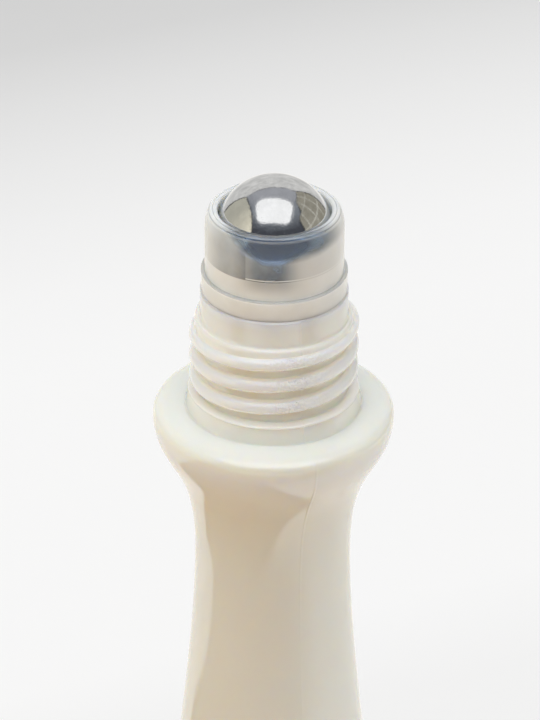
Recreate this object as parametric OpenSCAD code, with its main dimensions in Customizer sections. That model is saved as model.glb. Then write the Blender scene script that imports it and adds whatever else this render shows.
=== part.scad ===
// Roll-on bottle: a waisted, blow-moulded bottle with a screw neck, a snap-in roller housing
// and a steel ball that the housing's inturned lip holds in.
// Origin: centre of the foot on the table. +Z is up and all sizes are in millimetres.

/* [Bottle body] */
// Widest diameter of the lower body
body_d = 21.4; // [18:0.1:26]
// Height of the waist above the table
waist_h = 49.8; // [40:0.1:65]
// Diameter of the waist
waist_d = 13.8; // [12.6:0.1:16]
// Rise from the waist to the widest ring of the shoulder
shoulder_rise = 13.5; // [10:0.1:18]
// Widest diameter of the shoulder
shoulder_d = 21; // [19.6:0.1:25]
// Height of the shoulder's rounded crown, from its widest ring to its top
crown_r = 1.35; // [1.25:0.05:1.7]
// Depth of the dish in the shoulder's top, next to the neck
crown_dish = 0.05; // [0:0.05:0.4]
// Radius of the corner above the foot
foot_corner_r = 3; // [2:0.1:5]
// Width of the flat ring that stands on the table
foot_ring_w = 1.6; // [0.8:0.1:3]
// Rise of the dished bottom at its middle
push_up = 1; // [0.4:0.1:2]
// Wall thickness
wall = 1.1; // [0.8:0.05:1.3]

/* [Neck finish] */
// Diameter of the plain lead-in below the rim
lead_d = 12.75; // [12.4:0.05:12.95]
// Height of the plain lead-in
lead_h = 2.35; // [1.5:0.05:4]
// Diameter at the root of the screw thread
root_d = 13.1; // [13.05:0.05:14]
// Height of the threaded stretch
root_h = 7.05; // [5:0.05:10]
// Bore that takes the plug of the roller housing
bore_d = 9.8; // [9.2:0.05:10.4]
// Radius of the rim's rounded outer edge
rim_r = 0.5; // [0.2:0.05:0.8]
// Lead-in chamfer at the mouth of the bore
mouth_chamfer = 0.25; // [0.1:0.05:0.4]
// Diameter over the bead below the thread
bead_d = 14.9; // [14.4:0.05:16]
// Height of that bead
bead_h = 0.55; // [0.4:0.05:1.2]
// Diameter of the neck's base, under the bead
neck_base_d = 14.6; // [14:0.05:14.8]
// Height of the neck's base, with its fillet
neck_base_h = 1.25; // [0.7:0.05:2]
// Flare of the neck's base on its way down to the shoulder, on the radius
neck_flare = 0.35; // [0:0.05:0.5]
// Radius of the fillet where the neck meets the shoulder
neck_fillet = 0.15; // [0.05:0.05:0.4]

/* [Roller ball] */
// Ball diameter
ball_d = 10; // [9.6:0.05:10.2]
// Running clearance round the ball, on the radius
ball_gap = 0.05; // [0.02:0.01:0.1]
// Height of the ball's centre above the neck rim
ball_rise = 5.3; // [5.1:0.05:5.6]

/* [Roller housing] */
// Diameter of the housing's wall
housing_d = 11.9; // [11.7:0.05:12.2]
// Height of the lip's top above the ball's centre
lip_rise = 2.25; // [1.8:0.05:2.6]
// Hold of the lip on the ball: how far its opening is inside the ball's radius
lip_hold = 0.15; // [0.05:0.05:0.4]
// Width of the flat on top of the lip
lip_flat = 0.35; // [0.1:0.05:0.5]
// Size of the bevel inside the lip
lip_bevel = 0.1; // [0.05:0.05:0.25]
// Height of the curve that turns the wall in to the lip
lip_curve_h = 1.8; // [1.2:0.05:2]
// Depth from the ball's centre to the ledge of the cup
ledge_drop = 1.75; // [1.2:0.05:2.2]
// Diameter of the flange's top edge
flange_d = 12.54; // [12.2:0.02:12.8]
// Height of the flange that seats on the neck rim
flange_h = 1.8; // [1:0.05:2.4]
// Draft of the flange's side, on the radius
flange_draft = 0.04; // [0:0.02:0.2]
// Diameter of the feed hole under the ball
feed_d = 6; // [4.4:0.1:7]
// Thickness of the floor under the ball, at the feed hole
floor_t = 1.7; // [1.4:0.05:2.2]
// Length of the plug below the neck rim
plug_h = 7; // [5:0.1:9]
// Wall thickness of the plug
plug_wall = 0.9; // [0.7:0.05:1.2]
// Clearance of the plug in the bore between its beads, on the radius
plug_gap = 0.1; // [0.05:0.01:0.2]
// Squeeze of each sealing bead in the bore, on the radius
bead_squeeze = 0.04; // [0.01:0.01:0.08]
// Height of a sealing bead
seal_h = 0.9; // [0.6:0.05:1.2]
// Number of sealing beads
seal_n = 3; // [2:1:4]

/* [Hidden] */

// Overrun of the cuts
over = 1;
// Points along a long curve, and along a quarter arc
curve_n = 28;
arc_n = 8;
$fn = 96;

// Handles of the long curves, as shares of each curve's height
waist_shoulder_shares = [0.68, 0.29];
foot_waist_shares = [0.25, 0.28];
// Share of the shoulder's ledge, from the neck's fillet outwards, that the crown takes up
crown_share = 0.52;

// Radii
body_r = body_d / 2;
waist_r = waist_d / 2;
shoulder_r = shoulder_d / 2;
lead_r = lead_d / 2;
root_r = root_d / 2;
bore_r = bore_d / 2;
bead_r = bead_d / 2;
neck_base_r = neck_base_d / 2;
ball_r = ball_d / 2;
housing_r = housing_d / 2;
flange_r = flange_d / 2;
feed_r = feed_d / 2;
foot_r = body_r - foot_corner_r;
dish_r = foot_r - foot_ring_w;
neck_foot_r = neck_base_r + neck_flare;

// Width of the shoulder's crown, outside and inside
crown_w = crown_share * (shoulder_r - neck_foot_r - neck_fillet);
crown_inner_w = crown_w * (crown_r - wall) / crown_r;

// Heights above the table
shoulder_z = waist_h + shoulder_rise;
crown_z = shoulder_z + crown_r;
neck_z = crown_z - crown_dish;
bead_z = crown_z + neck_base_h;
root_z = bead_z + bead_h;
lead_z = root_z + root_h;
rim_z = lead_z + lead_h;
ball_z = rim_z + ball_rise;

// The cup, the lip and the plug of the housing
cup_r = ball_r + ball_gap;
lip_z = ball_z + lip_rise;
lip_r = ball_r - lip_hold;
lip_top_r = lip_r + lip_bevel;
lip_edge_r = lip_top_r + lip_flat;
ledge_z = ball_z - ledge_drop;
plug_r = bore_r - plug_gap;
plug_bore_r = plug_r - plug_wall;
plug_bottom_z = rim_z - plug_h;
feed_z = ball_z - sqrt(cup_r * cup_r - feed_r * feed_r);
plug_bore_z = feed_z - floor_t;
// Spacing of the sealing beads, and the way that each one stands out of the plug
seal_step = (plug_bore_z - plug_bottom_z) / seal_n;
seal_out = plug_gap + bead_squeeze;

// Points of an arc round centre c, with radii rx and rz, from angle a to angle b
function arc(c, rx, rz, a, b) =
    [for (i = [0:arc_n]) let (t = a + (b - a) * i / arc_n) c + [rx * cos(t), rz * sin(t)]];

// A point at t on the curve with end points p and q and handles straight up or down from them
function curve_point(p, q, hp, hq, t) =
    let (s = 1 - t)
    (pow(s, 3) + 3 * s * s * t) * p + (3 * s * t * t + pow(t, 3)) * q
    + [0, 3 * s * s * t * hp - 3 * s * t * t * hq];

// The direction of that curve at t
function curve_way(p, q, hp, hq, t) =
    let (s = 1 - t, d = 6 * s * t * (q - p) + [0, 3 * s * (s - 2 * t) * hp - 3 * t * (2 * s - t) * hq])
    d / norm(d);

// Points of the curve from p up to q, moved in by inset along its own normals
function rising_curve(p, q, shares, inset) =
    let (h = q[1] - p[1], hp = shares[0] * h, hq = shares[1] * h)
    [for (i = [0:curve_n])
        let (t = i / curve_n, d = curve_way(p, q, hp, hq, t))
        curve_point(p, q, hp, hq, t) + inset * [-d[1], d[0]]];

// The two long curves of the body, as seen from the side: foot to waist, and waist to shoulder
function body_curves(inset) = concat(
    rising_curve([body_r, foot_corner_r], [waist_r, waist_h], foot_waist_shares, inset),
    rising_curve([waist_r, waist_h], [shoulder_r, shoulder_z], waist_shoulder_shares, inset)
);

// Half section of the bottle's outside, from the axis at the bottom to the axis at the rim
function bottle_outside() = concat(
    [[0, push_up]],
    arc([0, 0], dish_r, push_up, 80, 0),
    arc([foot_r, foot_corner_r], foot_corner_r, foot_corner_r, -90, 0),
    body_curves(0),
    arc([shoulder_r - crown_w, shoulder_z], crown_w, crown_r, 0, 90),
    arc([neck_foot_r + neck_fillet, neck_z + neck_fillet], neck_fillet, neck_fillet, -90, -180),
    [[neck_base_r, bead_z]],
    arc([root_r, bead_z + bead_h / 2], bead_r - root_r, bead_h / 2, -30, 90),
    [[root_r, lead_z], [lead_r, lead_z]],
    arc([lead_r - rim_r, rim_z - rim_r], rim_r, rim_r, 0, 90),
    [[0, rim_z]]
);

// Half section of the space inside, one wall in from the outside up to the bore of the neck
function bottle_inside() = concat(
    [[0, push_up + wall]],
    arc([0, wall], dish_r, push_up, 80, 0),
    arc([foot_r, foot_corner_r], foot_corner_r - wall, foot_corner_r - wall, -90, 0),
    body_curves(wall),
    arc([shoulder_r - wall - crown_inner_w, shoulder_z], crown_inner_w, crown_r - wall, 0, 90),
    arc([bore_r + wall, neck_z], wall, wall, -90, -180),
    [[bore_r, rim_z - mouth_chamfer], [bore_r + mouth_chamfer, rim_z], [bore_r + mouth_chamfer, rim_z + over]],
    [[0, rim_z + over]]
);

module bottle() {
    color("ivory") rotate_extrude() difference() {
        polygon(bottle_outside());
        polygon(bottle_inside());
    }
}

// Half section of one sealing bead, with its foot on the plug's wall at height z
function seal_bead(z) = [
    [plug_r, z + seal_h / 6],
    [plug_r + seal_out, z + seal_h / 2],
    [plug_r + seal_out, z + seal_h * 2 / 3],
    [plug_r, z + seal_h]
];

// Half section of the housing's outside, from the plug's lower end to the lip
function housing_outside() = concat(
    [[0, plug_bottom_z], [plug_r - plug_gap, plug_bottom_z]],
    [for (i = [0:seal_n - 1]) each seal_bead(plug_bottom_z + i * seal_step)],
    [[plug_r, rim_z], [flange_r - flange_draft, rim_z], [flange_r, rim_z + flange_h]],
    [[housing_r, rim_z + flange_h], [housing_r, lip_z - lip_curve_h]],
    arc([lip_edge_r, lip_z - lip_curve_h], housing_r - lip_edge_r, lip_curve_h, 0, 90),
    [[0, lip_z]]
);

module roller_housing() {
    color("gainsboro") difference() {
        rotate_extrude() polygon(housing_outside());
        // The cup: a sphere that the lip closes over, opened to a straight wall down to the ledge
        translate([0, 0, ball_z]) sphere(r = cup_r);
        translate([0, 0, ledge_z]) cylinder(r = cup_r, h = ledge_drop);
        // The lip's opening, with a bevel at its top
        translate([0, 0, ball_z]) cylinder(r = lip_r, h = lip_rise + over);
        translate([0, 0, lip_z - lip_bevel]) cylinder(r1 = lip_r, r2 = lip_top_r + over, h = lip_bevel + over);
        // Feed hole, and the bore of the plug under it
        translate([0, 0, plug_bore_z - over]) cylinder(r = feed_r, h = floor_t + over + over);
        translate([0, 0, plug_bottom_z - over]) cylinder(r = plug_bore_r, h = plug_bore_z - plug_bottom_z + over);
    }
}

module roller_ball() {
    color("silver") translate([0, 0, ball_z]) sphere(d = ball_d);
}

bottle();
roller_housing();
roller_ball();
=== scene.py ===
# %% [markdown]
# # A roll-on bottle
#
# The object is a small moulded bottle with a screw neck, a milky housing that plugs into the
# neck, and a steel ball that rolls in the housing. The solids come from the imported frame, and
# this lesson dresses them. First come the camera and the studio, and then each piece in turn,
# its finish before its mesh. Everything is in metres in the frame's own axes, so nothing is
# moved or scaled to fit.

import math

import bmesh
import bpy
import numpy as np
from mathutils import Matrix, Vector


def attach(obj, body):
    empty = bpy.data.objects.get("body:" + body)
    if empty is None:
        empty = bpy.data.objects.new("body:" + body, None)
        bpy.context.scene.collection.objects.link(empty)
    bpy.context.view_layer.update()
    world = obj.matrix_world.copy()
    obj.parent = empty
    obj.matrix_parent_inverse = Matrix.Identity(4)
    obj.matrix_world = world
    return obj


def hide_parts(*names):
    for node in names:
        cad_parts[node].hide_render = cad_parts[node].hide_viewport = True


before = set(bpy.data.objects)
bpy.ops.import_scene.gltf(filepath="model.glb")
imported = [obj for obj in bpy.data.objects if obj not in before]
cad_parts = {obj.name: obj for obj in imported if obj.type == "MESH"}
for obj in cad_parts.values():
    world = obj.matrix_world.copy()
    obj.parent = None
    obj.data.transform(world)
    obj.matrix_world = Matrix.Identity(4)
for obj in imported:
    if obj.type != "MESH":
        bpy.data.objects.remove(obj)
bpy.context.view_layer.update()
MM = 0.001

# %% [markdown]
# ## The camera
#
# The picture was taken from close by with a long lens, looking down by some 30 degrees. A
# camera could be placed by eye, but then the curves of the rings would come out wrong. Its
# place was worked out from the rings of the neck: a ring looks as flat as the camera is low,
# and rings further down look smaller as the camera comes near. A lens of 183 mm on a frame
# 36 mm high gives the same framing. The picture leans by a third of a degree, so the
# camera's own axes are turned by that much about the line of sight.

# %% Camera
ELEVATION = math.radians(30.56)
LEAN = math.radians(-0.32)
CAMERA_DISTANCE = 316 * MM
AIM = Vector((-0.33, 0, 68.53)) * MM
FRAME_PX = 720
FOCAL_PX = 3656.5
SENSOR = 36.0

sight = Vector((0, -math.cos(ELEVATION), math.sin(ELEVATION)))
level = Vector((1, 0, 0))
steep = Vector((0, math.sin(ELEVATION), math.cos(ELEVATION)))
camera_x = math.cos(LEAN) * level - math.sin(LEAN) * steep
camera_y = math.sin(LEAN) * level + math.cos(LEAN) * steep

camera = bpy.data.objects.new("camera", bpy.data.cameras.new("camera"))
bpy.context.scene.collection.objects.link(camera)
camera.data.sensor_width = SENSOR
camera.data.lens = SENSOR * FOCAL_PX / FRAME_PX
turn = Matrix((camera_x, camera_y, sight)).transposed().to_4x4()
camera.matrix_world = Matrix.Translation(AIM + CAMERA_DISTANCE * sight) @ turn
bpy.context.scene.camera = camera
bpy.context.scene.view_settings.view_transform = "Standard"
print("lens, in mm:", round(camera.data.lens, 1))

# %% [markdown]
# ## Node trees written as sums
#
# A finish is a tree of nodes. Wiring each Math node by hand hides what it works out, so a small
# class wraps a socket and lets Python's own signs add the nodes: `1 - mask * 0.3` makes two of
# them. A few methods more, such as `step` and `near`, build masks, which run from 0 to 1.

# %% Sums on wires
class Wire:
    """An output socket on which +, -, * and / add Math nodes."""

    def __init__(self, nodes, socket):
        self.nodes = nodes
        self.socket = socket

    def math(self, operation, *values):
        """A Math node on these values or wires."""
        return self.nodes.add("Math", {"operation": operation}, dict(enumerate(values)))

    def __add__(self, other):
        return self.math("ADD", self, other)

    def __mul__(self, other):
        return self.math("MULTIPLY", self, other)

    def __sub__(self, other):
        return self.math("SUBTRACT", self, other)

    def __rsub__(self, other):
        return self.math("SUBTRACT", other, self)

    def __truediv__(self, other):
        return self.math("DIVIDE", self, other)

    def most(self, other):
        """The larger of the two."""
        return self.math("MAXIMUM", self, other)

    def least(self, other):
        """The smaller of the two."""
        return self.math("MINIMUM", self, other)

    def size(self):
        """The value without its sign."""
        return self.math("ABSOLUTE", self)

    def root(self):
        """The square root."""
        return self.math("SQRT", self)

    def step(self, low, high):
        """0 up to low, 1 from high on, and a smooth rise between them."""
        inputs = {0: self, 1: low, 2: high}
        return self.nodes.add("MapRange", {"interpolation_type": "SMOOTHSTEP"}, inputs)

    def near(self, at, inner, outer):
        """1 within inner of a value, and 0 further from it than outer."""
        return 1 - (self - at).size().step(inner, outer)

    def band(self, rise, fall):
        """Rises over the pair of values rise, and falls again over the pair fall."""
        return self.step(*rise) * (1 - self.step(*fall))

    __radd__ = __add__
    __rmul__ = __mul__

# %% [markdown]
# A second class holds a tree. Its `add` makes any node from its type, its settings and the
# values or wires of its sockets, and the other methods are short names for common calls.

# %% Trees of nodes
MIX_FACTOR, MIX_LOW, MIX_HIGH, MIX_COLOUR = 0, 6, 7, 2


class Nodes:
    """A node tree that grows by add()."""

    def __init__(self, tree, name):
        self.tree = tree
        self.name = name
        tree.nodes.clear()

    def add(self, kind, settings=None, inputs=None, output=0):
        """A node of that kind, its settings made first, with values or wires on its sockets."""
        node = self.tree.nodes.new("ShaderNode" + kind)
        for name, value in (settings or {}).items():
            if name == "stops":
                self.set_stops(node.color_ramp.elements, value)
            else:
                setattr(node, name, value)
        for name, value in (inputs or {}).items():
            if isinstance(value, Wire):
                self.tree.links.new(value.socket, node.inputs[name])
            else:
                node.inputs[name].default_value = value
        return Wire(self, node.outputs[output]) if len(node.outputs) else None

    @staticmethod
    def set_stops(elements, stops):
        """Gives a ramp its stops, which are pairs of a place from 0 to 1 and a colour."""
        while len(elements) < len(stops):
            elements.new(1.0)
        for element, (place, colour) in zip(elements, stops):
            element.position = place
            element.color = (*colour, 1)

    def place(self):
        """Where a point lies in its object's own coordinates, in metres."""
        return self.add("TexCoord", output="Object")

    def parts(self, vector):
        """The x, y and z of a vector, as three wires."""
        split = self.add("SeparateXYZ", {}, {0: vector}).socket.node
        return [Wire(self, socket) for socket in split.outputs]

    def stored(self, name):
        """A number stored on the mesh's corners."""
        return self.add("Attribute", {"attribute_name": name}, output="Fac")

    def noise(self, place, scale, detail=2.0):
        """A soft random field around 0.5, with scale lumps to the metre."""
        return self.add("TexNoise", {}, {"Vector": place, "Scale": scale, "Detail": detail})

    def blend(self, factor, low, high):
        """A colour between low and high."""
        low, high = ((*c, 1) if isinstance(c, tuple) else c for c in (low, high))
        inputs = {MIX_FACTOR: factor, MIX_LOW: low, MIX_HIGH: high}
        return self.add("Mix", {"data_type": "RGBA"}, inputs, MIX_COLOUR)

    def mix(self, factor, low, high):
        """A shader between two others."""
        return self.add("MixShader", {}, {0: factor, 1: low, 2: high})

    def glow(self, colour):
        """Light given off at the strength at which 1 is white."""
        return self.add("Emission", {}, {"Color": colour, "Strength": 1.0})

    def bump(self, depth, height):
        """A skin that stands out by depth, in metres, where height is 1."""
        return self.add("Bump", {}, {"Strength": 1.0, "Distance": depth, "Height": height})

    def close(self, surface, output="OutputMaterial"):
        """Wires the surface to the tree's output."""
        self.add(output, {}, {"Surface": surface})
        print(self.name, "has", len(self.tree.nodes), "nodes")


def finish_nodes(name):
    """A new material and the tree of its nodes."""
    material = bpy.data.materials.new(name)
    material.use_nodes = True
    return material, Nodes(material.node_tree, name)

# %% [markdown]
# ## The studio
#
# The ball is a mirror, so whatever lights the object is also seen in it. The picture shows one
# large soft box overhead, a cream panel to the left, a dimmer gridded one to the right, white
# paper that rises behind, and a dark room in front. Each is a flat card placed where its
# reflection on the ball says, and the camera itself doesn't see them.
#
# The soft box is made twice. A lamp gives the even light, and a card of the same size is what
# mirrors and glass see, so that its brightness there is set apart from the light it gives. A
# weak warm lamp from the front stands for the light that the wooden table throws back.

# %% Lamps
BALL_HEIGHT = 81.15 * MM
LAMP_DISTANCE = 0.7
BOX_ELEVATION = math.radians(70.8)
BOX_ASIDE = -0.02
BOX_SIZE = (0.89, 0.675)
BOX_LIGHT = 2.45

FILL_TOWARD = Vector((-0.1, -1, 0.12)).normalized()
FILL_SIZE = (0.7, 0.4)
FILL_LIGHT = 0.25
FILL_COLOUR = (1.0, 0.68, 0.40)


def lamp(name, toward, size, light, colour=(1, 1, 1)):
    """A rectangular lamp that faces the ball from a direction, seen by no camera or mirror."""
    made = bpy.data.objects.new(name, bpy.data.lights.new(name, "AREA"))
    made.data.shape = "RECTANGLE"
    made.data.size, made.data.size_y = size
    made.data.energy = light * math.pi * size[0] * size[1]
    made.data.color = colour
    made.location = Vector((0, 0, BALL_HEIGHT)) + LAMP_DISTANCE * toward
    made.rotation_euler = toward.to_track_quat("Z", "Y").to_euler()
    for rays in ("camera", "glossy", "transmission"):
        setattr(made, "visible_" + rays, False)
    bpy.context.scene.collection.objects.link(made)
    print(name, "in watts:", round(made.data.energy, 1))


toward_box = Vector((BOX_ASIDE, -math.cos(BOX_ELEVATION), math.sin(BOX_ELEVATION))).normalized()
lamp("soft_box", toward_box, BOX_SIZE, BOX_LIGHT)
lamp("warm_fill", FILL_TOWARD, FILL_SIZE, FILL_LIGHT, FILL_COLOUR)

# %% [markdown]
# A card is one face given by its corners. Its light is its own, with no lamp behind it, so each
# card's brightness is set on the spot. Cards shine on both the ball and the plastic.

# %% Cards
SQUARE = ((-1, -1), (1, -1), (1, 1), (-1, 1))


def card(name, corners, material):
    """A flat stage card with its corners given in order, in metres."""
    mesh = bpy.data.meshes.new(name)
    mesh.from_pydata([tuple(c) for c in corners], [], [list(range(len(corners)))])
    mesh.materials.append(material)
    made = bpy.data.objects.new(name, mesh)
    bpy.context.scene.collection.objects.link(made)
    made.visible_camera = False
    made.visible_shadow = False
    print(name, "is a card with", len(corners), "corners")
    return made


def shining(name, light_of, cover_of=None):
    """A material that gives off the colour light_of(nodes, place), through the share
    cover_of(nodes, place) of its face."""
    material, nodes = finish_nodes(name)
    place = nodes.place()
    light = nodes.glow(light_of(nodes, place))
    if cover_of:
        light = nodes.mix(cover_of(nodes, place), nodes.add("BsdfTransparent"), light)
    nodes.close(light)
    return material

# %% [markdown]
# The box bulges a little, its corners are round, and its light spills on to its rim. Distance
# from its edge is worked out as for a rounded rectangle: how far a point lies beyond an inner
# rectangle, less the radius of the corner.

# %% The soft box in mirrors
BOX_GLOW = 1.26
BOX_CORNER, BOX_BLUR, BOX_HALO = 0.16, 0.012, 0.10
HALO_SHARE, HALO_GRAIN = 0.6, (0.35, 0.7)

box_centre = Vector((0, 0, BALL_HEIGHT)) + LAMP_DISTANCE * toward_box
box_side = toward_box.cross(Vector((0, 0, 1))).normalized()
box_up = box_side.cross(toward_box)


def box_cover(nodes, place):
    """1 on the box, falling off with a grainy halo outside its rounded edge."""
    over = []
    for axis, half in ((box_side, BOX_SIZE[0] / 2), (box_up, BOX_SIZE[1] / 2)):
        inputs = {0: place, 1: axis}
        along = nodes.add("VectorMath", {"operation": "DOT_PRODUCT"}, inputs, "Value")
        along = (along - box_centre.dot(axis)).size()
        over.append((along - (half - BOX_CORNER)).most(0.0))
    away = (over[0] * over[0] + over[1] * over[1]).root() - BOX_CORNER
    grain = nodes.noise(place, scale=55.0).step(*HALO_GRAIN)
    halo = (1 - away.step(0.0, BOX_HALO)) * HALO_SHARE * grain
    return (1 - away.step(-BOX_BLUR, BOX_BLUR)).most(halo)


half_side, half_up = (box_axis * (size / 2 + BOX_HALO)
                      for box_axis, size in zip((box_side, box_up), BOX_SIZE))
cloth = shining("box_cloth", lambda nodes, place: (BOX_GLOW, BOX_GLOW, BOX_GLOW, 1), box_cover)
box_card = card("box_card", [box_centre + x * half_side + y * half_up for x, y in SQUARE], cloth)
box_card.visible_diffuse = False

# %% [markdown]
# The side panels and the paper have the outlines that the ball shows. The left panel is cream
# and brightest towards its front edge, the right one is a grid of pale bars over olive cells,
# and a dark card just behind each edges it with a thin dark line.

# %% Light of the panels
CREAM_BACK, CREAM_FRONT = (0.55, 0.535, 0.45), (0.93, 0.87, 0.70)
CREAM_TURN, CREAM_MOTTLE = (-0.25, 0.35), 0.3
BARS_Y, BARS_Z, BAR_EDGE = (-0.08, 0.14, 0.37), (0.22, 0.52), (0.006, 0.016)
BAR_PALE, CELL_DARK, CELL_PALE = (0.62, 0.60, 0.53), (0.32, 0.30, 0.245), (0.42, 0.40, 0.33)
PAPER_DULL, PAPER_BRIGHT = (0.64, 0.635, 0.62), (0.84, 0.83, 0.81)
SOFT_PATCH, CLEAR_PATCH = (0.3, 0.7), (0.35, 0.65)


def cream(nodes, place):
    """Cream, brighter towards the front of the panel, with a faint mottle."""
    y = nodes.parts(place)[1]
    back = (y + nodes.noise(place, scale=9.0) * CREAM_MOTTLE).step(*CREAM_TURN)
    return nodes.blend(1 - back, CREAM_BACK, CREAM_FRONT)


def bars(nodes, place):
    """Pale bars at set places along y and z over olive cells."""
    y, z = nodes.parts(place)[1:]
    lines = [(y, at) for at in BARS_Y] + [(z, at) for at in BARS_Z]
    grid, *others = [axis.near(at, *BAR_EDGE) for axis, at in lines]
    for bar in others:
        grid = grid.most(bar)
    cell = nodes.blend(nodes.noise(place, scale=6.0).step(*SOFT_PATCH), CELL_DARK, CELL_PALE)
    return nodes.blend(grid, cell, BAR_PALE)


def paper_white(nodes, place):
    """White paper with slow, soft patches."""
    patch = nodes.noise(place, scale=12.0, detail=5.0).step(*CLEAR_PATCH)
    return nodes.blend(patch, PAPER_DULL, PAPER_BRIGHT)

# %% Panels and paper
LEFT_EDGE = [(-0.42, 0), (-0.42, 0.32), (-0.30, 0.50), (-0.14, 0.59), (0.08, 0.62),
             (0.36, 0.57), (0.41, 0.29), (0.45, 0.11), (0.5, 0)]
RIGHT_EDGE = [(-0.22, 0), (-0.22, 0.45), (-0.19, 0.50), (-0.05, 0.52), (0.13, 0.78),
              (0.6, 0.83), (0.6, 0)]
PAPER_EDGE = [(-0.47, 0), (0.38, 0), (0.39, 0.64), (0.33, 0.74), (0.2, 0.74), (0.08, 0.79),
              (-0.08, 0.79), (-0.22, 0.80), (-0.38, 0.77), (-0.52, 0.77), (-0.64, 0.72),
              (-0.585, 0.4)]
PANEL_X, PAPER_Y = 0.5, 0.5
DARK_RIM, DARK_GAP, RIM_DARK = 0.034, 0.003, (0.05, 0.05, 0.055, 1)

frame_dark = shining("frame_dark", lambda nodes, place: RIM_DARK)


def framed_panel(name, edge, place_of, material):
    """A panel with its outline as pairs, each put in space by place_of(a, b, depth), and a dark
    card a little larger just behind it."""
    middle = np.mean(edge, axis=0)
    wider = [p + DARK_RIM * (p - middle) / np.linalg.norm(p - middle) for p in np.array(edge)]
    card(name, [place_of(a, b, 0) for a, b in edge], material)
    card(name + "_frame", [place_of(a, b, DARK_GAP) for a, b in wider], frame_dark)


framed_panel("left_panel", LEFT_EDGE, lambda y, z, depth: (-PANEL_X - depth, y, z),
             shining("panel_cream", cream))
framed_panel("right_panel", RIGHT_EDGE, lambda y, z, depth: (PANEL_X + depth, y, z),
             shining("panel_olive", bars))
framed_panel("paper_sweep", PAPER_EDGE, lambda x, z, depth: (x, PAPER_Y + depth, z),
             shining("paper_white", paper_white))

# %% [markdown]
# The floor is pale paper. Its given brightness is painted light, painted greyer far off and to
# the left as the light falls off there. Lit only by the lamps it would fall off to grey within a
# hand's width, so part of its brightness is given to it outright for the camera, and the rest is
# lit, which keeps the object's shadow. Rays that have come through clear plastic see the same
# paper behind the bottle.

# %% Tone of the floor
# The tones below are painted light: greyer far back and to the left, as the light falls off.
TILT = 0.45
NEAR_Y, EVEN_Y, BEND_Y, EDGE_Y, FAR_Y = 0.04, 0.058, 0.125, 0.22, 0.32
NEAR_TONE, EVEN_TONE, EDGE_TONE, FAR_TONE = 0.93, 0.99, 0.64, 0.45
FALL_POWER, FALL_STOPS = 1.7, 6
MOTTLE_TONE, MOTTLE_SHARE = (0.8, 0.8, 0.8), 0.04


def paper_stops():
    """Tone by distance back: even up to BEND_Y, from there down to the edge's tone as s^p for the
    share s of the way to EDGE_Y, and on to the far tone."""
    fall = [(BEND_Y + s * (EDGE_Y - BEND_Y), EVEN_TONE + (EDGE_TONE - EVEN_TONE) * s**FALL_POWER)
            for s in np.linspace(0, 1, FALL_STOPS)]
    return [(NEAR_Y, NEAR_TONE), (EVEN_Y, EVEN_TONE), *fall, (FAR_Y, FAR_TONE)]


def painted_paper_light(nodes, x, y, place):
    """Painted light: pale grey, greyer the further back a point lies, with a faint mottle."""
    back = (y - x * TILT - NEAR_Y) / (FAR_Y - NEAR_Y)
    stops = [((at - NEAR_Y) / (FAR_Y - NEAR_Y), (v, v, v)) for at, v in paper_stops()]
    ramp = nodes.add("ValToRGB", {"stops": stops}, {0: back})
    mottle = nodes.noise(place, scale=260.0, detail=3.0) * MOTTLE_SHARE
    return nodes.blend(mottle, ramp, MOTTLE_TONE)


print("floor tones:", [(round(float(at), 3), round(float(v), 2)) for at, v in paper_stops()])

# %% [markdown]
# What the glossy body mirrors is another matter. A tan board lies in front of the bottle, and
# its straight edges show in the waist. Beyond it come a strip of grey paper, a dark table and a
# darker room. All other rays see those. The plastic also takes up the light that the board and
# the paper throw back, which is brighter than their reflection, so diffuse rays see them
# brighter.

# %% What the body mirrors
BOARD_BACK, BACK_BLUR = 28.0, 1.5
BOARD_RIGHT, RIGHT_SLOPE, RIGHT_BLUR = 21.0, 0.38, (-2.0, 3.0)
BLUR_START, BLUR_GAIN = -35.0, 0.09
CUT_X, CUT_Y, CUT_RUN_X, CUT_RUN_Y, CUT_BLUR = -60.0, 29.0, 21.0, 24.0, 40.0
BOARD_FRONT = (-120.0, -85.0)

BOARD_TAN, BOARD_GLOW = (0.42, 0.30, 0.18), (1.15, 0.80, 0.47)
PAPER_CREAM, PAPER_GLOW = (1.0, 0.985, 0.945), (1.25, 1.20, 1.12)
PAPER_SHADED, PAPER_STRIP = (0.42, 0.33, 0.24), (0.74, 0.75, 0.76)
TABLE_DARK, TABLE_GLOW, ROOM_DARK = (0.13, 0.15, 0.18), (0.74, 0.52, 0.30), (0.08, 0.09, 0.11)
TABLE_FROM, STRIP_FROM, NEAR_FROM, CREAM_FROM = (
    (-0.5, -0.25), (-0.19, -0.14), (-0.122, -0.104), (-0.09, -0.03))


def ray_kind(nodes, kind):
    """1 for rays of that kind, and 0 for all others."""
    return nodes.add("LightPath", output="Is " + kind + " Ray")


def board_share(x, y):
    """1 on the board: in front of its back edge, left of its right edge, which blurs towards the
    front, inside its cut corner, and fading out towards the front."""
    x, y = x / MM, y / MM
    back = (BOARD_BACK - y).step(-BACK_BLUR, BACK_BLUR)
    blur = (BLUR_START - y).most(0.0) * BLUR_GAIN + 1.0
    right = ((y * RIGHT_SLOPE + BOARD_RIGHT - x) / blur).step(*RIGHT_BLUR)
    corner = (x - CUT_X) * CUT_RUN_Y - (y - CUT_Y) * CUT_RUN_X
    return back * right * corner.step(-CUT_BLUR, CUT_BLUR) * y.step(*BOARD_FRONT)


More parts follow.
